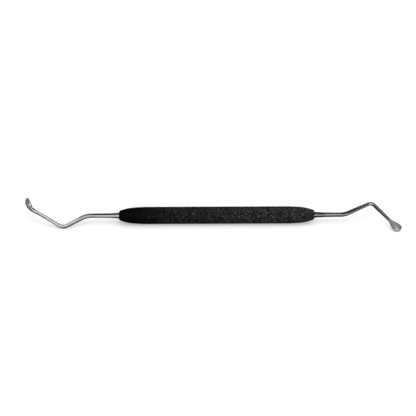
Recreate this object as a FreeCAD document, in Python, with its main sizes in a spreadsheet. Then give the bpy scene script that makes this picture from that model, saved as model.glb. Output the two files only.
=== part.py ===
import FreeCAD, Part
import math
import os
import Sketcher

# Caries excavator: a black moulded grip with a bent steel working end seated in each of its ends.
# It lies on a flat surface. X runs along the grip and Z is up. The origin is on that surface,
# under the middle of the grip. Lengths are in millimetres and angles in degrees.

SIZES = [
    ("grip_length", 90.0, "grip, end face to end face"),
    ("grip_diameter", 8.0, "grip, straight middle"),
    ("taper_length", 13.0, "grip, from the end face to where the straight middle starts"),
    ("nose_length", 6.0, "grip, from the end face to where the taper turns steeper"),
    ("nose_diameter", 7.3, "grip, where the taper turns steeper"),
    ("rounding_length", 0.7, "grip, length of the rounded edge of the end face"),
    ("rounding_diameter", 4.8, "grip, where the rounded edge starts"),
    ("face_diameter", 3.7, "grip, flat of the end face"),
    ("tang_diameter", 2.0, "working end, tang inside the grip"),
    ("tang_length", 12.0, "working end, length of the tang"),
    ("tang_chamfer", 0.3, "working end, chamfer at the end of the tang"),
    ("tang_clearance", 0.02, "radial clearance of the tang in its bore"),
    ("bore_spare", 0.5, "bore, depth left behind the tang"),
    ("collar_length", 1.3, "working end, collar that seats on the grip"),
    ("collar_diameter", 2.84, "working end, collar at the grip"),
    ("collar_front_diameter", 2.64, "working end, collar at its front edge"),
    ("groove_width", 0.2, "working end, groove in front of the collar"),
    ("groove_diameter", 2.36, "working end, floor of that groove"),
    ("flare_diameter", 2.52, "working end, start of the flare in front of the groove"),
    ("root_length", 5.0, "working end, from the grip to where the flare ends"),
    ("root_diameter", 2.18, "shank, at the end of the flare"),
    ("bend_diameter", 2.04, "shank, at the first bend"),
    ("elbow_diameter", 1.7, "shank, at the elbow"),
    ("first_bend_radius", 9.0, "shank, centre line radius of the first bend"),
    ("left_first_run", 12.7, "left shank, from the grip to the first bend"),
    ("left_rise_angle", 29.9, "left shank, turned by the first bend"),
    ("left_arm_run", 7.8, "left shank, straight between the first bend and the elbow"),
    ("left_elbow_radius", 3.5, "left shank, centre line radius of the elbow"),
    ("left_elbow_angle", 63.2, "left shank, turned back by the elbow"),
    ("left_twist_angle", 0.0, "left shank, plane of the elbow against that of the first bend"),
    ("left_neck_run", 15.0, "left shank, straight from the elbow to the spoon"),
    ("left_neck_diameter", 1.62, "left shank, where the spoon starts"),
    ("left_lean_angle", 33.5, "left end, plane of its first bend above the resting surface"),
    ("left_roll_angle", 147.0, "left spoon, turned about the neck"),
    ("left_hook_angle", 39.0, "left spoon, rim plane against the neck"),
    ("left_blade_length", 5.9, "left spoon, from the neck to the tip"),
    ("left_blade_width", 3.9, "left spoon, at its widest"),
    ("left_blade_depth", 2.0, "left spoon, back below the rim plane at its deepest"),
    ("left_widest_at", 3.0, "left spoon, widest place from the neck"),
    ("left_shoulder_at", 1.2, "left spoon, shoulder from the neck"),
    ("left_shoulder_width", 3.0, "left spoon, at the shoulder"),
    ("left_shoulder_depth", 1.65, "left spoon, back below the rim plane at the shoulder"),
    ("left_flank_at", 2.1, "left spoon, flank from the neck"),
    ("left_flank_width", 3.65, "left spoon, at the flank"),
    ("left_flank_depth", 1.95, "left spoon, back below the rim plane at the flank"),
    ("left_bowl_length", 4.9, "left spoon, length of the bowl"),
    ("left_bowl_at", 3.15, "left spoon, middle of the bowl from the neck"),
    ("left_bowl_wall", 0.4, "left spoon, metal under the bowl"),
    ("right_first_run", 12.0, "right shank, from the grip to the first bend"),
    ("right_rise_angle", 24.5, "right shank, turned by the first bend"),
    ("right_arm_run", 10.05, "right shank, straight between the first bend and the elbow"),
    ("right_elbow_radius", 2.4, "right shank, centre line radius of the elbow"),
    ("right_elbow_angle", 74.2, "right shank, turned back by the elbow"),
    ("right_twist_angle", -11.0, "right shank, plane of the elbow against that of the first bend"),
    ("right_neck_run", 10.95, "right shank, straight from the elbow to the spoon"),
    ("right_neck_diameter", 1.42, "right shank, where the spoon starts"),
    ("right_lean_angle", 41.3, "right end, plane of its first bend above the resting surface"),
    ("right_roll_angle", -88.0, "right spoon, turned about the neck"),
    ("right_hook_angle", 1.0, "right spoon, rim plane against the neck"),
    ("right_blade_length", 7.0, "right spoon, from the neck to the tip"),
    ("right_blade_width", 4.2, "right spoon, at its widest"),
    ("right_blade_depth", 1.5, "right spoon, back below the rim plane at its deepest"),
    ("right_widest_at", 5.1, "right spoon, widest place from the neck"),
    ("right_shoulder_at", 1.5, "right spoon, shoulder from the neck"),
    ("right_shoulder_width", 2.4, "right spoon, at the shoulder"),
    ("right_shoulder_depth", 1.05, "right spoon, back below the rim plane at the shoulder"),
    ("right_flank_at", 3.2, "right spoon, flank from the neck"),
    ("right_flank_width", 3.6, "right spoon, at the flank"),
    ("right_flank_depth", 1.42, "right spoon, back below the rim plane at the flank"),
    ("right_bowl_length", 3.9, "right spoon, length of the bowl"),
    ("right_bowl_at", 4.9, "right spoon, middle of the bowl from the neck"),
    ("right_bowl_wall", 0.65, "right spoon, metal under the bowl"),
    ("rim_width", 0.15, "spoons, flat edge left around the bowl"),
]

# Shares of the stretch from the widest place to the tip at which the rounded end is drawn.
TIP_SHARES = (0.45, 0.75, 0.93, 0.99)

# The end of a line or arc in a sketch, and a sketch's origin and axes.
START, END, CENTRE = 1, 2, 3
ORIGIN, ACROSS, UP = -1, -1, -2


def add_sizes(doc):
    sheet = doc.addObject("Spreadsheet::Sheet", "Sizes")
    for row, (alias, value, meaning) in enumerate(SIZES, start=1):
        sheet.set(f"A{row}", meaning)
        sheet.set(f"B{row}", str(value))
        sheet.setAlias(f"B{row}", alias)
    doc.recompute()
    return sheet


def number(doc, expression):
    return float(doc.Sizes.evalExpression(expression))


def flat(x, y):
    return FreeCAD.Vector(x, y, 0)


def sketch_on(body, name, role):
    plane = next(item for item in body.Origin.OriginFeatures if item.Role == role)
    sketch = body.newObject("Sketcher::SketchObject", name)
    sketch.AttachmentSupport = (plane, [""])
    sketch.MapMode = "FlatFace"
    return sketch


def bind(sketch, constraint, expression):
    index = sketch.addConstraint(constraint)
    sketch.setExpression(f"Constraints[{index}]", expression)


def end_near(sketch, geometry, place):
    return min((START, END), key=lambda end: sketch.getPoint(geometry, end).distanceToPoint(place))


def pin(sketch, geometry, end, x, y):
    """Holds a point at two expressions, measured from the sketch's origin."""
    doc = sketch.Document
    for expression, kind, axis in ((x, "DistanceX", UP), (y, "DistanceY", ACROSS)):
        if expression == "0":
            sketch.addConstraint(Sketcher.Constraint("PointOnObject", geometry, end, axis))
        else:
            value = number(doc, expression)
            bind(sketch, Sketcher.Constraint(kind, ORIGIN, START, geometry, end, value), expression)


def turned(heading):
    """The unit vector a quarter turn to the left of heading."""
    return flat(-heading.y, heading.x)


def arc_leaving(start, heading, end):
    """The arc from start to end that leaves start along heading, and its heading at the end."""
    chord = end - start
    radius = chord.Length ** 2 / (2 * chord.dot(turned(heading)))
    centre = start + turned(heading) * radius
    middle = centre + ((start - centre) + (end - centre)).normalize() * abs(radius)
    return Part.Arc(start, middle, end), turned(end - centre) * (1 / radius)


def draw_outline(sketch, corners, arcs=()):
    """Draws a closed outline through corners, each a pair of expressions. The sides named in
    arcs are arcs that carry on from the side before them without a corner."""
    doc = sketch.Document
    places = [flat(number(doc, x), number(doc, y)) for x, y in corners]
    count = len(places)
    heading = flat(1, 0)
    for side in range(count):
        start, end = places[side], places[(side + 1) % count]
        if side in arcs:
            shape, heading = arc_leaving(start, heading, end)
        else:
            shape, heading = Part.LineSegment(start, end), (end - start).normalize()
        sketch.addGeometry(shape)
    for side in range(count):
        ahead = (side + 1) % count
        place = places[ahead]
        kind = "Tangent" if ahead in arcs else "Coincident"
        ends = (side, end_near(sketch, side, place), ahead, end_near(sketch, ahead, place))
        sketch.addConstraint(Sketcher.Constraint(kind, *ends))
    for side, (x, y) in enumerate(corners):
        pin(sketch, side, end_near(sketch, side, places[side]), x, y)


def revolve_about_x(body, name, sketch):
    feature = body.newObject("PartDesign::Revolution", name)
    feature.Profile = sketch
    feature.ReferenceAxis = (sketch, ["H_Axis"])
    feature.Angle = 360
    return feature


def add_grip(doc):
    """One half is turned about X with the bore for a tang in its end, then mirrored."""
    body = doc.addObject("PartDesign::Body", "grip")
    half, radius = "Sizes.grip_length / 2", "Sizes.grip_diameter / 2"
    bore = "Sizes.tang_diameter / 2 + Sizes.tang_clearance"
    bore_end = f"{half} - Sizes.tang_length - Sizes.bore_spare"
    profile = sketch_on(body, "grip_profile", "XZ_Plane")
    corners = [
        ("0", "0"),
        ("0", radius),
        (f"{half} - Sizes.taper_length", radius),
        (f"{half} - Sizes.nose_length", "Sizes.nose_diameter / 2"),
        (f"{half} - Sizes.rounding_length", "Sizes.rounding_diameter / 2"),
        (half, "Sizes.face_diameter / 2"),
        (half, bore),
        (bore_end, bore),
        (bore_end, "0"),
    ]
    draw_outline(profile, corners, arcs=(2, 3, 4))
    revolve_about_x(body, "grip_half", profile)
    doc.recompute()
    mirror = body.newObject("PartDesign::Mirrored", "grip_halves")
    mirror.Originals = [doc.grip_half]
    mirror.MirrorPlane = (profile, ["V_Axis"])
    body.Tip = mirror
    body.setExpression("Placement.Base.z", "Sizes.grip_diameter / 2")
    return body


def add_root(body, side):
    """Tang, collar, groove, flare and first run, turned about X. The grip's end is at x = 0."""
    profile = sketch_on(body, f"{side}_root_profile", "XZ_Plane")
    tang, chamfer = "Sizes.tang_diameter / 2", "Sizes.tang_chamfer"
    front = "Sizes.collar_length + Sizes.groove_width"
    corners = [
        ("-Sizes.tang_length", "0"),
        ("-Sizes.tang_length", f"{tang} - {chamfer}"),
        (f"-Sizes.tang_length + {chamfer}", tang),
        ("0", tang),
        ("0", "Sizes.collar_diameter / 2"),
        ("Sizes.collar_length", "Sizes.collar_front_diameter / 2"),
        ("Sizes.collar_length", "Sizes.groove_diameter / 2"),
        (front, "Sizes.groove_diameter / 2"),
        (front, "Sizes.flare_diameter / 2"),
        ("Sizes.root_length", "Sizes.root_diameter / 2"),
        (f"Sizes.{side}_first_run", "Sizes.bend_diameter / 2"),
        (f"Sizes.{side}_first_run", "0"),
    ]
    draw_outline(profile, corners)
    revolve_about_x(body, f"{side}_root", profile)


def add_taper(body, name, run, start_diameter, end_diameter):
    """A straight run of the shank along X from the origin."""
    profile = sketch_on(body, f"{name}_profile", "XZ_Plane")
    corners = [("0", "0"), ("0", f"{start_diameter} / 2"), (run, f"{end_diameter} / 2"), (run, "0")]
    draw_outline(profile, corners)
    revolve_about_x(body, name, profile)


def add_bend(body, name, at, radius, angle, diameter, up):
    """A round bar bent up or down through an arc, which leaves x = at along X."""
    doc = body.Document
    path = sketch_on(body, f"{name}_path", "XZ_Plane")
    start, reach = flat(number(doc, at), 0), number(doc, radius)
    turn = math.radians(number(doc, angle))
    height = reach * (1 - math.cos(turn))
    end = start + flat(reach * math.sin(turn), height if up else -height)
    path.addGeometry(arc_leaving(start, flat(1, 0), end)[0])
    near = end_near(path, 0, start)
    pin(path, 0, near, at, "0")
    path.addConstraint(Sketcher.Constraint("Vertical", 0, near, 0, CENTRE))
    bind(path, Sketcher.Constraint("Radius", 0, reach), radius)
    bind(path, Sketcher.Constraint("Angle", 0, turn), f"{angle} * 1 deg")
    section = circle_across(body, f"{name}_section", diameter, at)
    doc.recompute()
    bar = body.newObject("PartDesign::AdditivePipe", name)
    bar.Profile = section
    bar.Spine = path


def circle_across(body, name, diameter, x):
    sketch = sketch_on(body, name, "YZ_Plane")
    radius = number(body.Document, diameter) / 2
    sketch.addGeometry(Part.Circle(flat(0, 0), FreeCAD.Vector(0, 0, 1), radius))
    sketch.addConstraint(Sketcher.Constraint("Coincident", 0, CENTRE, ORIGIN, START))
    bind(sketch, Sketcher.Constraint("Diameter", 0, 2 * radius), diameter)
    sketch.AttachmentOffset = FreeCAD.Placement(flat(0, 0), FreeCAD.Rotation())
    sketch.setExpression("AttachmentOffset.Base.z", x)
    return sketch


def place_slice(sketch, side, at):
    """Sets a slice of the spoon at a distance from the neck, square to the hooked rim plane."""
    neck, hook = f"Sizes.{side}_neck_run", f"Sizes.{side}_hook_angle"
    sketch.AttachmentOffset = FreeCAD.Placement(flat(0, 0), FreeCAD.Rotation(flat(1, 0), 0))
    sketch.setExpression("AttachmentOffset.Base.y", f"({at}) * sin({hook})")
    sketch.setExpression("AttachmentOffset.Base.z", f"{neck} + ({at}) * cos({hook})")
    sketch.setExpression("AttachmentOffset.Rotation.Angle", f"-{hook} * 1 deg")


def spoon_section(body, name, side, at, half_width, depth):
    """A slice of the blank: flat across the rim plane, with a round back of the given depth."""
    sketch = sketch_on(body, name, "YZ_Plane")
    doc = body.Document
    width, low = number(doc, half_width), number(doc, depth)
    left, right, bottom = flat(-width, 0), flat(width, 0), flat(0, -low)
    sketch.addGeometry(Part.Arc(left, bottom, right))
    sketch.addGeometry(Part.LineSegment(right, left))
    sketch.addGeometry(Part.Point(bottom), True)
    add_section_constraints(sketch, left, right, half_width)
    pin(sketch, 2, START, "0", f"-({depth})")
    sketch.addConstraint(Sketcher.Constraint("PointOnObject", 2, START, 0))
    place_slice(sketch, side, at)
    return sketch


def add_section_constraints(sketch, left, right, half_width):
    for place in (left, right):
        ends = (0, end_near(sketch, 0, place), 1, end_near(sketch, 1, place))
        sketch.addConstraint(Sketcher.Constraint("Coincident", *ends))
    pin(sketch, 1, end_near(sketch, 1, right), half_width, "0")
    pin(sketch, 1, end_near(sketch, 1, left), f"-({half_width})", "0")


def neck_section(body, side):
    """The end of the round neck, cut in two halves so that it matches the other slices."""
    sketch = sketch_on(body, f"{side}_neck_section", "YZ_Plane")
    neck_radius = f"Sizes.{side}_neck_diameter / 2"
    radius = number(body.Document, neck_radius)
    left, right, bottom, top = flat(-radius, 0), flat(radius, 0), flat(0, -radius), flat(0, radius)
    sketch.addGeometry(Part.Arc(left, bottom, right))
    sketch.addGeometry(Part.Arc(right, top, left))
    add_section_constraints(sketch, left, right, neck_radius)
    for arc in (0, 1):
        sketch.addConstraint(Sketcher.Constraint("PointOnObject", arc, CENTRE, ACROSS))
    sketch.AttachmentOffset = FreeCAD.Placement(flat(0, 0), FreeCAD.Rotation())
    sketch.setExpression("AttachmentOffset.Base.z", f"Sizes.{side}_neck_run")
    return sketch


def tip_section(body, side):
    sketch = sketch_on(body, f"{side}_tip", "YZ_Plane")
    sketch.addGeometry(Part.Point(flat(0, 0)))
    sketch.addConstraint(Sketcher.Constraint("Coincident", 0, START, ORIGIN, START))
    place_slice(sketch, side, f"Sizes.{side}_blade_length")
    return sketch


def add_spoon(doc, side):
    """The neck along X and a blank lofted from it to the rounded tip, with the bowl ground into
    the blank's flat side. The bowl faces Z before the hook tips it."""
    body = doc.addObject("PartDesign::Body", f"{side}_spoon")
    add_taper(body, f"{side}_neck", f"Sizes.{side}_neck_run", "Sizes.elbow_diameter",
              f"Sizes.{side}_neck_diameter")
    widest, reach = f"Sizes.{side}_widest_at", f"Sizes.{side}_blade_length"
    half_width, depth = f"Sizes.{side}_blade_width / 2", f"Sizes.{side}_blade_depth"
    neck = neck_section(body, side)
    slices = []
    for place in ("shoulder", "flank"):
        station = f"Sizes.{side}_{place}"
        slices.append(spoon_section(body, f"{side}_{place}", side, f"{station}_at",
                                    f"{station}_width / 2", f"{station}_depth"))
    slices.append(spoon_section(body, f"{side}_widest", side, widest, half_width, depth))
    for count, share in enumerate(TIP_SHARES, start=1):
        left_over = f"sqrt(1 - {share} * {share})"
        at = f"{widest} + ({reach} - {widest}) * {share}"
        slices.append(spoon_section(body, f"{side}_tip_slice_{count}", side, at,
                                    f"{half_width} * {left_over}", f"{depth} * {left_over}"))
    slices.append(tip_section(body, side))
    doc.recompute()
    blank = body.newObject("PartDesign::AdditiveLoft", f"{side}_blank")
    blank.Profile = neck
    blank.Sections = slices
    blank.Ruled = False
    doc.recompute()
    add_bowl(body, side)
    return body


def add_bowl(body, side):
    bowl = body.newObject("PartDesign::SubtractiveEllipsoid", f"{side}_bowl")
    bowl.setExpression("Radius1", f"Sizes.{side}_blade_depth - Sizes.{side}_bowl_wall")
    bowl.setExpression("Radius2", f"Sizes.{side}_bowl_length / 2")
    bowl.setExpression("Radius3", f"Sizes.{side}_blade_width / 2 - Sizes.rim_width")
    bowl.Angle1, bowl.Angle2 = -90, 90
    neck, at = f"Sizes.{side}_neck_run", f"Sizes.{side}_bowl_at"
    hook = f"Sizes.{side}_hook_angle"
    bowl.Placement = FreeCAD.Placement(flat(0, 0), FreeCAD.Rotation(flat(0, 1), 0))
    bowl.setExpression("Placement.Base.x", f"{neck} + {at} * cos({hook})")
    bowl.setExpression("Placement.Base.z", f"{at} * sin({hook})")
    bowl.setExpression("Placement.Rotation.Angle", f"-{hook} * 1 deg")


def add_shank(doc, side):
    """The turned root with its first run, and the first bend."""
    body = doc.addObject("PartDesign::Body", f"{side}_shank")
    add_root(body, side)
    add_bend(body, f"{side}_first_bend", f"Sizes.{side}_first_run", "Sizes.first_bend_radius",
             f"Sizes.{side}_rise_angle", "Sizes.bend_diameter", up=True)
    return body


def add_arm(doc, side):
    """The run between the bends, and the elbow."""
    body = doc.addObject("PartDesign::Body", f"{side}_arm")
    arm = f"Sizes.{side}_arm_run"
    add_taper(body, f"{side}_arm_bar", arm, "Sizes.bend_diameter", "Sizes.elbow_diameter")
    add_bend(body, f"{side}_elbow", arm, f"Sizes.{side}_elbow_radius",
             f"Sizes.{side}_elbow_angle", "Sizes.elbow_diameter", up=False)
    return body


def arm_placement(side):
    """Where the first bend ends, with X along the arm and the elbow's plane as XZ."""
    bend, rise = "Sizes.first_bend_radius", f"Sizes.{side}_rise_angle"
    return (f"placement(vector(Sizes.{side}_first_run + {bend} * sin({rise}); 0;"
            f" {bend} * (1 - cos({rise}))); rotation(vector(0; 1; 0); -{rise})"
            f" * rotation(vector(1; 0; 0); Sizes.{side}_twist_angle))")


def spoon_placement(side):
    """Where the elbow ends, with X along the neck."""
    elbow, turn = f"Sizes.{side}_elbow_radius", f"Sizes.{side}_elbow_angle"
    return (f"{arm_placement(side)} * placement(vector(Sizes.{side}_arm_run + {elbow} * sin({turn});"
            f" 0; -{elbow} * (1 - cos({turn}))); rotation(vector(0; 1; 0); {turn})"
            f" * rotation(vector(1; 0; 0); Sizes.{side}_roll_angle))")


def add_working_end(doc, side, place):
    """Shank, arm and spoon as one forging, set against the grip's end by the expression place."""
    shank, arm, spoon = add_shank(doc, side), add_arm(doc, side), add_spoon(doc, side)
    arm.setExpression("Placement", arm_placement(side))
    spoon.setExpression("Placement", spoon_placement(side))
    forging = doc.addObject("Part::MultiFuse", f"{side}_working_end")
    forging.Shapes = [shank, arm, spoon]
    forging.setExpression("Placement", place)
    return forging


def check_and_export(doc, nodes):
    for item in doc.Objects:
        if "Invalid" in item.State or "Error" in item.State:
            raise RuntimeError(f"{item.Name} failed: {item.State}")
    for node in nodes:
        shape = node.Shape
        if shape.isNull() or not shape.isValid() or len(shape.Solids) != 1:
            raise RuntimeError(f"{node.Label} is not one valid solid")
    for node in nodes:
        node.Shape.exportStep(f"parts/{node.Label}.step")


def main():
    os.makedirs("parts", exist_ok=True)
    doc = FreeCAD.newDocument("caries_excavator")
    add_sizes(doc)
    grip = add_grip(doc)
    height, reach = "Sizes.grip_diameter / 2", "Sizes.grip_length / 2"
    left = add_working_end(doc, "left", (
        f"placement(vector(-{reach}; 0; {height}); rotation(vector(1; 0; 0);"
        " 90 + Sizes.left_lean_angle) * rotation(vector(0; 0; 1); 180))"))
    right = add_working_end(doc, "right", (
        f"placement(vector({reach}; 0; {height}); rotation(vector(1; 0; 0);"
        " Sizes.right_lean_angle - 90))"))
    doc.recompute()
    check_and_export(doc, (grip, left, right))


main()
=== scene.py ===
import math
import bmesh
import bpy
from mathutils import Matrix, Vector


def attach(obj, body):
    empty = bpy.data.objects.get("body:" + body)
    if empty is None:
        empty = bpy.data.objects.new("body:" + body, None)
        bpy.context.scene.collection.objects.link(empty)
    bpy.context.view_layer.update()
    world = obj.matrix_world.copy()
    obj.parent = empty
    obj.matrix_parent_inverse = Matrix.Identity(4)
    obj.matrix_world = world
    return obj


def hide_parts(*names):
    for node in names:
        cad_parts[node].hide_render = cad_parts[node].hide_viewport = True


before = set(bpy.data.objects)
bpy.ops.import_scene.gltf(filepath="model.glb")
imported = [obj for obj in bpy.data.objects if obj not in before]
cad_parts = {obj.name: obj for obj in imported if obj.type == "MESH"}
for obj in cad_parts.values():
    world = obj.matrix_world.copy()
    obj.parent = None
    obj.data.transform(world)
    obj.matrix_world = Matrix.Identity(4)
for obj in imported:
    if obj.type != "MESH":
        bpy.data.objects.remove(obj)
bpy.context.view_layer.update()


# ---- Grip ----
# A moulded handle of black plastic with a fine pebbled grain, rounded down at both ends to a
# small flat face. Each end has a blind bore, and a steel working end is seated in it.
GRIP_LENGTH, GRIP_RADIUS, GRIP_HEIGHT = 0.090, 0.0040, 0.0040
TAPER_LENGTH = 0.013
NOSE_LENGTH, NOSE_RADIUS = 0.006, 0.00365
ROUNDING_LENGTH, ROUNDING_RADIUS = 0.0007, 0.0024
FACE_RADIUS = 0.00185
FACE_RINGS = (0.00182, 0.0014)
BORE_RADIUS, BORE_DEPTH, BORE_EDGE = 0.00102, 0.0125, 0.00003
SMOOTH_END = 0.0006
GRAIN_STEP, GRAIN_SPOKES, GRAIN_SEED = 0.000165, 152, 4.0
PEBBLE_SIZE, PEBBLE_DEPTH = 0.00105, 0.00007

PIT_BLACK = (0.0007, 0.0007, 0.0008, 1)
RIDGE_BLACK = (0.029, 0.029, 0.0316, 1)
WORN_GREY = (0.095, 0.095, 0.099, 1)
RIDGES_PER_METRE, RIDGE_WARP = 900.0, 0.0007


class Socket:
    """A node's output socket. Sums written with it add Math nodes to its tree."""

    def __init__(self, tree, link):
        self.tree, self.link = tree, link

    def __getitem__(self, output):
        """Another output of the same node."""
        return Socket(self.tree, self.link.node.outputs[output])

    def math(self, operation, *others):
        return add_node(self.tree, "ShaderNodeMath", {"operation": operation}, [self, *others])

    def __add__(self, other):
        return self.math("ADD", other)

    def __sub__(self, other):
        return self.math("SUBTRACT", other)

    def __mul__(self, other):
        return self.math("MULTIPLY", other)

    def __truediv__(self, other):
        return self.math("DIVIDE", other)

    def __rsub__(self, other):
        return add_node(self.tree, "ShaderNodeMath", {"operation": "SUBTRACT"}, [other, self])

    def __rtruediv__(self, other):
        return add_node(self.tree, "ShaderNodeMath", {"operation": "DIVIDE"}, [other, self])

    __radd__, __rmul__ = __add__, __mul__

    def between(self, low, high, start=0.0, end=1.0):
        """Runs smoothly from start to end while this value runs from low to high."""
        return add_node(self.tree, "ShaderNodeMapRange", {"interpolation_type": "SMOOTHSTEP"},
                        [self, low, high, start, end])


def add_node(tree, kind, settings=None, inputs=(), output=0):
    """Adds a node, first its settings and then its inputs, by place or by name."""
    node = tree.nodes.new(kind)
    for name, value in (settings or {}).items():
        setattr(node, name, value)
    pairs = inputs.items() if isinstance(inputs, dict) else enumerate(inputs)
    for key, value in pairs:
        if isinstance(value, Socket):
            tree.links.new(value.link, node.inputs[key])
        else:
            node.inputs[key].default_value = value
    return Socket(tree, node.outputs[output]) if node.outputs else None


def axes(tree, place):
    """The x, y and z of a place."""
    split = add_node(tree, "ShaderNodeSeparateXYZ", {}, [place])
    return split["X"], split["Y"], split["Z"]


def noise(tree, place, scale, detail, output="Fac"):
    return add_node(tree, "ShaderNodeTexNoise", {},
                    {"Vector": place, "Scale": scale, "Detail": detail}, output)


def mixed(tree, factor, first, second):
    """A colour between first and second. Sockets 6, 7 and output 2 are the Mix node's colours."""
    return add_node(tree, "ShaderNodeMix", {"data_type": "RGBA"},
                    {"Factor": factor, 6: first, 7: second}, 2)


def bumped(tree, height, strength, distance):
    return add_node(tree, "ShaderNodeBump", {},
                    {"Strength": strength, "Distance": distance, "Height": height})


def blank_material(name):
    material = bpy.data.materials.new(name)
    material.use_nodes = True
    material.node_tree.nodes.clear()
    return material, material.node_tree


def finish_material(tree, shader):
    add_node(tree, "ShaderNodeOutputMaterial", {}, {"Surface": shader})


def grip_plastic():
    """Matt black plastic: a net of fine ridges round dark pits, with pale specks, and painted shade
    that darkens both towards the left end.
    """
    material, tree = blank_material("pebbled_black_plastic")
    place = add_node(tree, "ShaderNodeTexCoord", output="Object")
    x = axes(tree, place)[0]
    # Painted shade: the ridges and the pale specks fade to black towards the grip's left end, where
    # it reflects less light.
    painted_shade_along_grip = 0.02 + 0.47 * x.between(-0.043, -0.012) + 0.51 * x.between(-0.020, 0.035)
    warp = noise(tree, place, RIDGES_PER_METRE, 2.0, "Color")
    moved = add_node(tree, "ShaderNodeVectorMath", {"operation": "MULTIPLY_ADD"},
                     [warp, (RIDGE_WARP, RIDGE_WARP, RIDGE_WARP), place])
    cells = add_node(tree, "ShaderNodeTexVoronoi", {"feature": "DISTANCE_TO_EDGE"},
                     {"Vector": moved, "Scale": RIDGES_PER_METRE}, "Distance")
    ridges = cells.between(0.02, 0.28, 1.0, 0.0)
    clouds = noise(tree, place, 430.0, 4.0).between(0.34, 0.62, 0.40, 1.0)
    fine = noise(tree, place, 2600.0, 3.0)
    specks = noise(tree, place, 1500.0, 1.0).between(0.58, 0.68)
    tone = (ridges * 0.55 + fine.between(0.38, 0.62) * 0.45) * clouds
    black = mixed(tree, tone * painted_shade_along_grip, PIT_BLACK, RIDGE_BLACK)
    specks_and_painted_shade = mixed(tree, specks * painted_shade_along_grip * 0.6, black, WORN_GREY)
    shader = add_node(tree, "ShaderNodeBsdfPrincipled", {}, {
        "Base Color": specks_and_painted_shade, "Roughness": 0.62 - 0.20 * tone, "Specular IOR Level": 0.04,
        "Normal": bumped(tree, ridges * 0.7 + fine * 0.5, 0.8, 0.00008)})
    finish_material(tree, shader)
    return material


def arc_points(start, heading, end, count):
    """Points on the arc from start to end that leaves start along heading, and its last heading."""
    chord = end - start
    left = Vector((-heading.y, heading.x))
    radius = chord.length_squared / (2 * chord.dot(left))
    centre = start + left * radius
    sweep = 2 * math.atan2(chord.dot(left), chord.dot(heading))
    points = []
    for step in range(1, count + 1):
        turn = Matrix.Rotation(sweep * step / count, 2)
        points.append(centre + turn @ (start - centre))
    return points, Matrix.Rotation(sweep, 2) @ heading


def grip_profile():
    """Half of the grip's outline as (x, radius), from its middle to the bottom of the bore."""
    half = GRIP_LENGTH / 2
    straight = half - TAPER_LENGTH
    count = round(straight / GRAIN_STEP)
    points = [Vector((straight * step / count, GRIP_RADIUS)) for step in range(count + 1)]
    heading = Vector((1, 0))
    # Where each arc ends, its radius there, and its number of points.
    for x, radius, steps in ((half - NOSE_LENGTH, NOSE_RADIUS, 42),
                             (half - ROUNDING_LENGTH, ROUNDING_RADIUS, 34),
                             (half, FACE_RADIUS, 8)):
        arc, heading = arc_points(points[-1], heading, Vector((x, radius)), steps)
        points += arc
    points += [Vector((half, radius)) for radius in (*FACE_RINGS, BORE_RADIUS + BORE_EDGE)]
    points += [Vector((half - depth, BORE_RADIUS))
               for depth in (BORE_EDGE, BORE_DEPTH / 2, BORE_DEPTH)]
    points.append(Vector((half - BORE_DEPTH, 0)))
    return points


def placed(name, data):
    """A new object in the scene, at the origin, that shows this data."""
    body = bpy.data.objects.new(name, data)
    bpy.context.collection.objects.link(body)
    return body


def profile_curve(name, points):
    curve = bpy.data.curves.new(name, "CURVE")
    curve.dimensions = "3D"
    spline = curve.splines.new("POLY")
    spline.points.add(len(points) - 1)
    for target, point in zip(spline.points, points):
        target.co = (point.x, point.y, 0, 1)
    return placed(name, curve)


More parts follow.
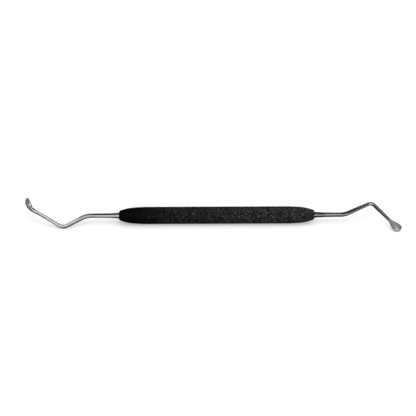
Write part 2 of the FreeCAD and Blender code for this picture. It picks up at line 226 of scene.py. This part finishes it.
def grain_tree():
    """Turns the profile about X and presses the pebbled grain into the outer face."""
    tree = bpy.data.node_groups.new("turned_and_grained", "GeometryNodeTree")
    for way in ("INPUT", "OUTPUT"):
        tree.interface.new_socket("Geometry", in_out=way, socket_type="NodeSocketGeometry")
    identifiers = {}
    for name, kind in (("Spokes", "Int"), ("Height", "Float"), ("Half length", "Float"),
                       ("Smooth end", "Float"), ("Bore radius", "Float"), ("Pebble size", "Float"),
                       ("Pebble depth", "Float"), ("Seed", "Float"), ("Material", "Material")):
        socket = tree.interface.new_socket(name, in_out="INPUT", socket_type="NodeSocket" + kind)
        identifiers[name] = socket.identifier
    given = add_node(tree, "NodeGroupInput")

    # A flat grid is rolled up: one row of it for each point of the profile.
    rings = add_node(tree, "GeometryNodeAttributeDomainSize", {"component": "CURVE"},
                     {"Geometry": given["Geometry"]}, "Point Count")
    across = given["Spokes"] + 1
    grid = add_node(tree, "GeometryNodeMeshGrid", {}, {
        "Size X": 1.0, "Size Y": 1.0, "Vertices X": rings, "Vertices Y": across}, "Mesh")
    index = add_node(tree, "GeometryNodeInputIndex")
    ring = (index / across + 0.0001).math("FLOOR")
    angle = (index - ring * across) / given["Spokes"] * math.tau
    outline = add_node(
        tree, "GeometryNodeSampleIndex", {"data_type": "FLOAT_VECTOR", "domain": "POINT"},
        {"Geometry": given["Geometry"], "Index": ring,
         "Value": add_node(tree, "GeometryNodeInputPosition")})
    along, radius, _ = axes(tree, outline)
    place = add_node(tree, "ShaderNodeCombineXYZ", {}, [
        along, radius * angle.math("SINE"), radius * angle.math("COSINE")])
    turned = add_node(tree, "GeometryNodeSetPosition", {}, {"Geometry": grid, "Position": place})
    closed = add_node(tree, "GeometryNodeMergeByDistance", {},
                      {"Geometry": turned, "Distance": 0.000001})

    # The grain is pressed in everywhere but on the flat ends and in the bores.
    spot = add_node(tree, "GeometryNodeInputPosition")
    x, y, z = axes(tree, spot)
    from_axis = (y * y + z * z).math("SQRT")
    outer = (from_axis.between(given["Bore radius"] * 1.6, given["Bore radius"] * 2.1)
             * x.math("ABSOLUTE").between(given["Half length"] - given["Smooth end"] * 2,
                                          given["Half length"] - given["Smooth end"], 1.0, 0.0))
    warp = add_node(tree, "ShaderNodeTexNoise", {"noise_dimensions": "4D"}, {
        "Vector": spot, "W": given["Seed"], "Scale": 0.45 / given["Pebble size"],
        "Detail": 2.0}, "Fac")
    cells = add_node(
        tree, "ShaderNodeTexVoronoi", {"voronoi_dimensions": "4D", "feature": "SMOOTH_F1"},
        {"Vector": spot, "W": given["Seed"] + warp * 0.9, "Scale": 1 / given["Pebble size"],
         "Smoothness": 0.3, "Randomness": 1.0}, "Distance")
    valley = cells.between(0.22, 0.80)
    fine = add_node(tree, "ShaderNodeTexNoise", {"noise_dimensions": "4D"}, {
        "Vector": spot, "W": given["Seed"] + 3.7, "Scale": 1.9 / given["Pebble size"],
        "Detail": 1.0}, "Fac")
    press = (valley * 0.75 + (1 - fine) * 0.35) * given["Pebble depth"] * outer
    inward = add_node(tree, "ShaderNodeVectorMath", {"operation": "SCALE"},
                      {0: add_node(tree, "GeometryNodeInputNormal"), "Scale": press * -1.0})
    grained = add_node(tree, "GeometryNodeSetPosition", {}, {"Geometry": closed, "Offset": inward})

    lift = add_node(tree, "ShaderNodeCombineXYZ", {}, [0.0, 0.0, given["Height"]])
    lifted = add_node(tree, "GeometryNodeSetPosition", {}, {"Geometry": grained, "Offset": lift})
    smooth = add_node(tree, "GeometryNodeSetShadeSmooth", {}, [lifted])
    real = add_node(tree, "GeometryNodeRealizeInstances", {}, [smooth])
    dressed = add_node(tree, "GeometryNodeSetMaterial", {},
                       {"Geometry": real, "Material": given["Material"]})
    add_node(tree, "NodeGroupOutput", {}, [dressed])
    return tree, identifiers


def made_plain(source, name):
    """The evaluated shape of an object as a plain mesh object of its own."""
    shape = source.evaluated_get(bpy.context.evaluated_depsgraph_get())
    piece = placed(name, bpy.data.meshes.new_from_object(shape))
    source.modifiers.clear()
    bpy.data.objects.remove(source)
    return piece


def faced_outwards(piece):
    """Turns every face of a closed piece outwards."""
    shape = bmesh.new()
    shape.from_mesh(piece.data)
    bmesh.ops.recalc_face_normals(shape, faces=shape.faces)
    if shape.calc_volume(signed=True) < 0:
        bmesh.ops.reverse_faces(shape, faces=shape.faces)
    shape.to_mesh(piece.data)
    shape.free()


half_outline = grip_profile()
mirrored = [Vector((-point.x, point.y)) for point in reversed(half_outline)]
grip_blank = profile_curve("grip_outline", mirrored + half_outline[1:])
grain = grip_blank.modifiers.new("grain", "NODES")
grain.node_group, identifiers = grain_tree()
for name, value in {
        "Spokes": GRAIN_SPOKES, "Height": GRIP_HEIGHT, "Half length": GRIP_LENGTH / 2,
        "Smooth end": SMOOTH_END, "Bore radius": BORE_RADIUS, "Pebble size": PEBBLE_SIZE,
        "Pebble depth": PEBBLE_DEPTH, "Seed": GRAIN_SEED, "Material": grip_plastic()}.items():
    grain[identifiers[name]] = value
grip = made_plain(grip_blank, "pebbled_grip")
faced_outwards(grip)
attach(grip, "root")
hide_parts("grip")


# ---- Working ends ----
# Each end is forged from one round bar of stainless steel: a tang, a collar with a groove, a
# shank with two bends, and a spoon. The shanks and bowls are polished, the blades' backs ground.

# Tang, collar and groove, each as its place from the grip's end face and its radius.
ROOT_PROFILE = ((-0.012, 0.0), (-0.012, 0.0007), (-0.0117, 0.001), (0.0, 0.001), (0.0, 0.00136),
                (0.00006, 0.00142), (0.00125, 0.001325), (0.0013, 0.00128), (0.0013, 0.00118),
                (0.0015, 0.00118), (0.0015, 0.00123), (0.00154, 0.00126))
FLARE_START, FLARE_START_RADIUS = 0.0015, 0.00126
FLARE_END, FLARE_RADIUS = 0.0050, 0.00109
BEND_RADIUS_OF_BAR, ELBOW_RADIUS_OF_BAR = 0.00102, 0.00085
FIRST_BEND = 0.009
RIM_WIDTH = 0.00015
SPOKES, RING_STEP = 96, 0.00012
BLADE_RINGS, TIP_RINGS = 70, 44
SHARP_EDGE = math.radians(34)

# Lengths in metres and angles in degrees. A shoulder or flank is its place past the neck, its half
# width and its depth.
LEFT = dict(
    seat=Matrix.Translation((-0.045, 0, 0.004)) @ Matrix.Rotation(math.radians(90 + 33.5), 4, "X")
    @ Matrix.Rotation(math.pi, 4, "Z"),
    first_run=0.0127, rise=29.9, arm=0.0078, elbow=0.0035, elbow_turn=63.2, twist=0.0,
    neck=0.0150, neck_radius=0.00081, roll=147.0, hook=39.0, fairing=0.0024,
    length=0.0059, half_width=0.00195, depth=0.0020, widest=0.0030,
    shoulder=(0.0012, 0.0015, 0.00165), flank=(0.0021, 0.001825, 0.00195),
    bowl=0.00245, bowl_at=0.00315, bowl_wall=0.0004, ground_from=0.0013)
RIGHT = dict(
    seat=Matrix.Translation((0.045, 0, 0.004)) @ Matrix.Rotation(math.radians(41.3 - 90), 4, "X"),
    first_run=0.0120, rise=24.5, arm=0.01005, elbow=0.0024, elbow_turn=74.2, twist=-11.0,
    neck=0.01095, neck_radius=0.00071, roll=-88.0, hook=1.0, fairing=0.0002,
    length=0.0070, half_width=0.0021, depth=0.0015, widest=0.0051,
    shoulder=(0.0015, 0.0012, 0.00105), flank=(0.0032, 0.0018, 0.00142),
    bowl=0.00195, bowl_at=0.0049, bowl_wall=0.00065, ground_from=-0.0002)

POLISHED_STEEL, GROUND_STEEL = (0.62, 0.62, 0.61, 1), (0.58, 0.58, 0.57, 1)


def eased(stations, at):
    """A smooth line through (place, size) stations that never swings past them."""
    count = len(stations)
    slopes = [(after[1] - before[1]) / (after[0] - before[0])
              for before, after in zip(stations, stations[1:])]
    tangents = [slopes[0]]
    for before, after in zip(slopes, slopes[1:]):
        tangents.append(0.0 if before * after <= 0 else 2 * before * after / (before + after))
    tangents.append(slopes[-1])
    at = min(max(at, stations[0][0]), stations[-1][0])
    i = max(k for k in range(count - 1) if stations[k][0] <= at)
    span = stations[i + 1][0] - stations[i][0]
    t = (at - stations[i][0]) / span
    return ((2 * t ** 3 - 3 * t ** 2 + 1) * stations[i][1]
            + (t ** 3 - 2 * t ** 2 + t) * span * tangents[i]
            + (3 * t ** 2 - 2 * t ** 3) * stations[i + 1][1]
            + (t ** 3 - t ** 2) * span * tangents[i + 1])


def steps(start, end):
    """Evenly spaced places after start, up to end, about a ring's step apart."""
    count = max(2, round((end - start) / RING_STEP))
    return [start + (end - start) * step / count for step in range(1, count + 1)]


def spine(end):
    """Places along the bar: distance from the grip, and the matrix of the ring there."""
    roll = Matrix.Rotation(math.radians(end["roll"]), 4, "X")
    twist = Matrix.Rotation(math.radians(end["twist"]), 4, "X")
    rise, turn = math.radians(end["rise"]), math.radians(end["elbow_turn"])
    run, arm, elbow = end["first_run"], end["arm"], end["elbow"]
    places = [(x, end["seat"] @ Matrix.Translation((x, 0, 0)) @ twist @ roll)
              for x in steps(ROOT_PROFILE[-1][0], run)]
    for s in steps(0, FIRST_BEND * rise):
        a = s / FIRST_BEND
        at = Matrix.Translation((run + FIRST_BEND * math.sin(a), 0, FIRST_BEND * (1 - math.cos(a))))
        places.append((run + s, end["seat"] @ at @ Matrix.Rotation(-a, 4, "Y") @ twist @ roll))
    arm_at = end["seat"] @ at @ Matrix.Rotation(-rise, 4, "Y") @ twist
    far = run + FIRST_BEND * rise
    places += [(far + x, arm_at @ Matrix.Translation((x, 0, 0)) @ roll) for x in steps(0, arm)]
    for s in steps(0, elbow * turn):
        a = s / elbow
        at = Matrix.Translation((arm + elbow * math.sin(a), 0, -elbow * (1 - math.cos(a))))
        places.append((far + arm + s, arm_at @ at @ Matrix.Rotation(a, 4, "Y") @ roll))
    neck_at = places[-1][1]
    far += arm + elbow * turn
    straight = end["neck"] - end["fairing"]
    places += [(far + x, neck_at @ Matrix.Translation((x, 0, 0))) for x in steps(0, straight)]
    return places, neck_at, far


def spoon_place(neck_at, end, at):
    """The matrix of a slice at a distance past the neck. Negative places lie on the neck."""
    hook, fairing = math.radians(end["hook"]), end["fairing"]
    if abs(at) >= fairing:
        turn = hook if at > 0 else 0.0
        x, z = end["neck"] + at * math.cos(turn), at * math.sin(turn)
    else:
        bend = fairing / math.tan(hook / 2)
        turn = hook * (at + fairing) / (2 * fairing)
        x, z = end["neck"] - fairing + bend * math.sin(turn), bend * (1 - math.cos(turn))
    return neck_at @ Matrix.Translation((x, 0, z)) @ Matrix.Rotation(-turn, 4, "Y")


def section(half_width, depth, crown):
    """One ring: a round back below the rim plane, and a crown above it that may be flat."""
    radius = (half_width ** 2 + depth ** 2) / (2 * depth)
    middle = radius - depth
    reach = math.atan2(half_width, middle)
    half = SPOKES // 2
    points = []
    for step in range(half):
        a = reach - 2 * reach * step / half
        points.append((radius * math.sin(a), middle - radius * math.cos(a)))
    for step in range(half):
        a = math.pi - math.pi * step / half
        points.append((half_width * math.cos(a), crown * math.sin(a)))
    return points


def ring_at(matrix, half_width, depth, crown):
    return [matrix @ Vector((0, y, z)) for y, z in section(half_width, depth, crown)]


def spoon_slices(end):
    """Place past the neck, half width, depth and crown of each slice, from the neck to the tip."""
    start, neck, widest = -end["fairing"], end["neck_radius"], end["widest"]
    shoulder, shoulder_width, shoulder_depth = end["shoulder"]
    flank, flank_width, flank_depth = end["flank"]
    widths = [(start, neck), (shoulder, shoulder_width), (flank, flank_width),
              (widest, end["half_width"])]
    depths = [(start, neck), (shoulder, shoulder_depth), (flank, flank_depth),
              (widest, end["depth"])]
    crowns = [(start, neck), (0.0, neck * 0.86), (shoulder, 0.0), (widest, 0.0)]
    slices = []
    for step in range(1, BLADE_RINGS + 1):
        at = start + (widest - start) * step / BLADE_RINGS
        slices.append((at, eased(widths, at), eased(depths, at), eased(crowns, at)))
    for step in range(1, TIP_RINGS):
        share = math.sin(math.pi / 2 * step / TIP_RINGS)
        left_over = math.sqrt(1 - share ** 2)
        slices.append((widest + (end["length"] - widest) * share, end["half_width"] * left_over,
                       end["depth"] * left_over, 0.0))
    return slices


def object_from(shape, name):
    """Turns a bmesh into an object of its own."""
    mesh = bpy.data.meshes.new(name)
    shape.to_mesh(mesh)
    shape.free()
    return placed(name, mesh)


def joined_rings(name, rings, first, last):
    """A closed skin through the rings, with a point at each of its two ends."""
    shape = bmesh.new()
    loops = [[shape.verts.new(point) for point in ring] for ring in rings]
    for near, far in zip(loops, loops[1:]):
        for spoke in range(SPOKES):
            after = (spoke + 1) % SPOKES
            shape.faces.new((near[spoke], near[after], far[after], far[spoke]))
    for loop, point in ((loops[0], first), (loops[-1], last)):
        pole = shape.verts.new(point)
        for spoke in range(SPOKES):
            shape.faces.new((loop[spoke], loop[(spoke + 1) % SPOKES], pole))
    piece = object_from(shape, name)
    faced_outwards(piece)
    return piece


def bowl_cutter(neck_at, end):
    """The ellipsoid that the bowl is ground with, on the rim plane, and its matrix."""
    shape = bmesh.new()
    bmesh.ops.create_uvsphere(shape, u_segments=128, v_segments=64, radius=1.0)
    hook, at = math.radians(end["hook"]), end["bowl_at"]
    place = Matrix.Translation((end["neck"] + at * math.cos(hook), 0, at * math.sin(hook)))
    size = Matrix.Diagonal((end["bowl"], end["half_width"] - RIM_WIDTH,
                            end["depth"] - end["bowl_wall"], 1))
    form = neck_at @ place @ Matrix.Rotation(-hook, 4, "Y") @ size
    bmesh.ops.transform(shape, matrix=form, verts=shape.verts)
    return object_from(shape, "bowl_cutter"), form


def mark_finishes(piece, neck_at, end, bowl):
    """Marks the ground blade and the polished bowl for the material, and keeps hard edges hard."""
    blade_reach, bowl_skin = 0.01, 1.004
    mesh = piece.data
    to_neck, to_bowl = neck_at.inverted(), bowl.inverted()
    ground = mesh.attributes.new("ground", "FLOAT", "POINT")
    for vertex, value in zip(mesh.vertices, ground.data):
        near = to_neck @ vertex.co
        past = near.x - end["neck"] - end["ground_from"]
        on_blade = past > 0 and abs(near.y) < blade_reach and abs(near.z) < blade_reach
        in_bowl = (to_bowl @ vertex.co).length <= bowl_skin
        value.value = 1.0 if on_blade and not in_bowl else 0.0
    shape = bmesh.new()
    shape.from_mesh(mesh)
    for face in shape.faces:
        face.smooth = True
    for edge in shape.edges:
        if len(edge.link_faces) == 2 and edge.calc_face_angle() > SHARP_EDGE:
            edge.smooth = False
    shape.to_mesh(mesh)
    shape.free()


def forged_end(name, end, material):
    """One working end: rings from the tang to the tip, skinned, with the bowl cut out."""
    places, neck_at, far = spine(end)
    root = Matrix.Rotation(math.radians(end["roll"] + end["twist"]), 4, "X")
    bend_start = end["first_run"]
    arm_start = bend_start + FIRST_BEND * math.radians(end["rise"])
    radii = [(FLARE_START, FLARE_START_RADIUS), (FLARE_END, FLARE_RADIUS),
             (bend_start, BEND_RADIUS_OF_BAR), (arm_start, BEND_RADIUS_OF_BAR),
             (arm_start + end["arm"], ELBOW_RADIUS_OF_BAR), (far, ELBOW_RADIUS_OF_BAR),
             (far + end["neck"] - end["fairing"], end["neck_radius"])]
    rings = [ring_at(end["seat"] @ Matrix.Translation((x, 0, 0)) @ root, radius, radius, radius)
             for x, radius in ROOT_PROFILE[1:]]
    for x, matrix in places:
        radius = eased(radii, x)
        rings.append(ring_at(matrix, radius, radius, radius))
    for at, *sizes in spoon_slices(end):
        rings.append(ring_at(spoon_place(neck_at, end, at), *sizes))
    tang_end = end["seat"] @ Vector((ROOT_PROFILE[0][0], 0, 0))
    tip = spoon_place(neck_at, end, end["length"]).translation
    blank = joined_rings(name + "_blank", rings, tang_end, tip)
    cutter, bowl = bowl_cutter(neck_at, end)
    cut = blank.modifiers.new("bowl", "BOOLEAN")
    cut.operation, cut.solver, cut.object = "DIFFERENCE", "EXACT", cutter
    piece = made_plain(blank, name)
    bpy.data.objects.remove(cutter)
    mark_finishes(piece, neck_at, end, bowl)
    piece.data.materials.clear()
    piece.data.materials.append(material)
    return piece


def steel():
    """Stainless steel: polished, with faint polishing lines, and satin where it is ground."""
    material, tree = blank_material("polished_and_ground_steel")
    place = add_node(tree, "ShaderNodeTexCoord", output="Object")
    ground = add_node(tree, "ShaderNodeAttribute", {"attribute_name": "ground"}, (), "Fac")
    stretched = add_node(tree, "ShaderNodeMapping", {},
                         {"Vector": place, "Scale": (9000.0, 900.0, 900.0)})
    lines = noise(tree, stretched, 1.0, 2.0)
    cloud = noise(tree, place, 700.0, 3.0)
    grit = noise(tree, place, 9000.0, 2.0)
    height = lines * (1 - ground) * 0.25 + grit * ground
    shader = add_node(tree, "ShaderNodeBsdfPrincipled", {}, {
        "Base Color": mixed(tree, ground, POLISHED_STEEL, GROUND_STEEL),
        "Metallic": 1 - 0.13 * ground,
        "Roughness": 0.03 + 0.04 * cloud + ground * (0.25 + 0.12 * cloud),
        "Normal": bumped(tree, height, 0.15, 0.00001)})
    finish_material(tree, shader)
    return material


end_steel = steel()
for name, end, node in (("left_forged_end", LEFT, "left_working_end"),
                        ("right_forged_end", RIGHT, "right_working_end")):
    piece = forged_end(name, end, end_steel)
    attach(piece, "root")
    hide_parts(node)


# ---- Studio ----
# A white table top with a faint shadow, one very broad soft lamp overhead and a little to the
# right, and a dim room with six lit panels, which the steel shows as its light and dark bands.
WHITE = (1, 1, 1, 1)
TABLE_REACH, TABLE_WHITE = 3, (0.88, 0.88, 0.88, 1)
GLOW_TO_THE_EYE = 0.36
LAMP_SIZE, LAMP_POWER, LAMP_PLACE = 2.4, 22.0, Vector((0.33, 0.10, 1.0)).normalized()
VIEW_SPAN, VIEW_DISTANCE, VIEW_ROLL = 0.19157, 1.6, 0.0043
VIEW_ELEVATION, VIEW_TARGET = math.radians(30), Vector((-0.003983, 0.0, 0.007822))
SENSOR_WIDTH = 36.0

# Each panel's brightness and its four corners.
PANELS = {
    "front_panel": (0.92, (-0.26, -0.45, 0.2), (0.070, -0.45, 0.2), (0.070, -0.10, 0.2),
                    (-0.26, -0.185, 0.2)),
    "left_panel": (1.7, (-0.100, -0.045, 0.06), (-0.074, -0.045, 0.06), (-0.074, 0.008, 0.06),
                   (-0.100, 0.008, 0.06)),
    "elbow_panel": (1.2, (-0.074, -0.045, 0.06), (-0.060, -0.045, 0.06), (-0.060, -0.004, 0.06),
                    (-0.074, -0.004, 0.06)),
    "arm_panel": (1.0, (-0.035, -0.17, 0.2), (0.035, -0.14, 0.2), (0.035, -0.075, 0.2),
                  (-0.035, -0.075, 0.2)),
    "neck_panel": (0.65, (0.064, -0.004, 0.05), (0.076, -0.004, 0.05), (0.076, 0.008, 0.05),
                   (0.064, 0.008, 0.05)),
    "low_panel": (0.72, (-0.48, -0.4, 0.0), (0.225, -0.4, 0.0), (0.225, -0.4, 0.22),
                  (-0.48, -0.4, 0.22))}


def seen_by(tree):
    """Whether the camera sees this point itself, and whether a reflection does."""
    rays = add_node(tree, "ShaderNodeLightPath")
    return rays["Is Camera Ray"], rays["Is Glossy Ray"]


def grey(tree, level):
    return add_node(tree, "ShaderNodeCombineColor", {}, [level, level, level])


def glow(tree, colour):
    return add_node(tree, "ShaderNodeEmission", {}, {"Color": colour, "Strength": 1.0})


def white_table():
    """White to the eye, and in the steel a grey sheet with painted shade that makes it darker along
    the instrument.
    """
    material, tree = blank_material("white_table")
    camera_ray, glossy_ray = seen_by(tree)
    x, y, _ = axes(tree, add_node(tree, "ShaderNodeTexCoord", output="Object"))
    # Painted shade for reflections: near black along the instrument, lighter in front of it and by
    # the left shank, the left neck, the right neck and past the left spoon.
    in_front = (y * -1.0).between(0.003, 0.016)
    at_left_shank = x.between(-0.060, -0.056) * x.between(-0.049, -0.045, 1.0, 0.0)
    at_left_neck = x.between(-0.078, -0.068, 1.0, 0.0) * x.between(-0.094, -0.080)
    past_left_spoon = x.between(-0.112, -0.098, 1.0, 0.0)
    at_right_neck = x.between(0.058, 0.068)
    seen_in_steel = (0.01 + 0.13 * at_left_shank + 0.60 * at_left_neck + in_front * (
        0.14 + 0.62 * at_left_shank + 0.62 * at_right_neck + 0.45 * past_left_spoon))
    matt = add_node(tree, "ShaderNodeBsdfDiffuse", {}, {"Color": TABLE_WHITE})
    to_eye = add_node(tree, "ShaderNodeMixShader", {},
                      [camera_ray * GLOW_TO_THE_EYE, matt, glow(tree, WHITE)])
    finish_material(tree, add_node(tree, "ShaderNodeMixShader", {},
                                   [glossy_ray, to_eye, glow(tree, grey(tree, seen_in_steel))]))
    return material


def dim_room():
    """White behind the table, and for the steel a dark room that is lighter in front."""
    world = bpy.data.worlds.new("dim_room")
    world.use_nodes = True
    tree = world.node_tree
    tree.nodes.clear()
    camera_ray, glossy_ray = seen_by(tree)
    x, y, z = axes(tree, add_node(tree, "ShaderNodeTexCoord", output="Generated"))
    front = (y * -1.0).between(0.80, 0.95) * x.between(0.05, 0.30, 0.40, 0.08)
    sides = x.math("ABSOLUTE").between(0.08, 0.28) * z.between(0.55, 0.78)
    back = 0.03 * y.between(-0.10, 0.85) + 0.12 * y.between(0.30, 0.80)
    seen_in_steel = 0.015 + back + 0.14 * sides + front
    fill = 1.25 * (y * -1.0).between(-0.10, 0.50)
    room = mixed(tree, glossy_ray, grey(tree, fill), grey(tree, seen_in_steel))
    light = add_node(tree, "ShaderNodeBackground", {},
                     {"Color": mixed(tree, camera_ray, room, WHITE), "Strength": 1.0})
    add_node(tree, "ShaderNodeOutputWorld", {}, {"Surface": light})
    return world


def stage_sheet(name, corners, material):
    mesh = bpy.data.meshes.new(name)
    mesh.from_pydata(corners, [], [(0, 1, 2, 3)])
    mesh.materials.append(material)
    sheet = placed(name, mesh)
    return sheet


def lit_panel(name, level, corners):
    """A panel that gives no light and shows in glossy surfaces alone."""
    material, tree = blank_material(name)
    finish_material(tree, glow(tree, (level, level, level, 1)))
    panel = stage_sheet(name, corners, material)
    panel.visible_camera = panel.visible_diffuse = panel.visible_shadow = False


stage_sheet("table_top", [(x * TABLE_REACH, y * TABLE_REACH, 0)
                          for x, y in ((-1, -1), (1, -1), (1, 1), (-1, 1))], white_table())
for name, (level, *corners) in PANELS.items():
    lit_panel(name, level, corners)
bpy.context.scene.world = dim_room()

lamp = bpy.data.lights.new("soft_lamp", "AREA")
lamp.shape, lamp.size, lamp.energy = "DISK", LAMP_SIZE, LAMP_POWER
lamp_body = placed("soft_lamp", lamp)
lamp_body.location = LAMP_PLACE
lamp_body.rotation_euler = LAMP_PLACE.to_track_quat("Z", "Y").to_euler()
lamp_body.visible_glossy = False

# The camera looks down at the instrument, a long way off, and leans by a quarter of a degree.
camera = bpy.data.cameras.new("camera")
camera.sensor_width = SENSOR_WIDTH
camera.lens = SENSOR_WIDTH * VIEW_DISTANCE / VIEW_SPAN
camera.clip_end = 20.0
camera_body = placed("camera", camera)
along = Vector((1, 0, 0))
back = Vector((0, -math.cos(VIEW_ELEVATION), math.sin(VIEW_ELEVATION)))
up = Vector((0, math.sin(VIEW_ELEVATION), math.cos(VIEW_ELEVATION)))
right = along * math.cos(VIEW_ROLL) - up * math.sin(VIEW_ROLL)
top = up * math.cos(VIEW_ROLL) + along * math.sin(VIEW_ROLL)
camera_body.matrix_world = (Matrix.Translation(VIEW_TARGET + back * VIEW_DISTANCE)
                            @ Matrix((right, top, back)).transposed().to_4x4())
bpy.context.scene.camera = camera_body
bpy.context.scene.view_settings.view_transform = "Standard"
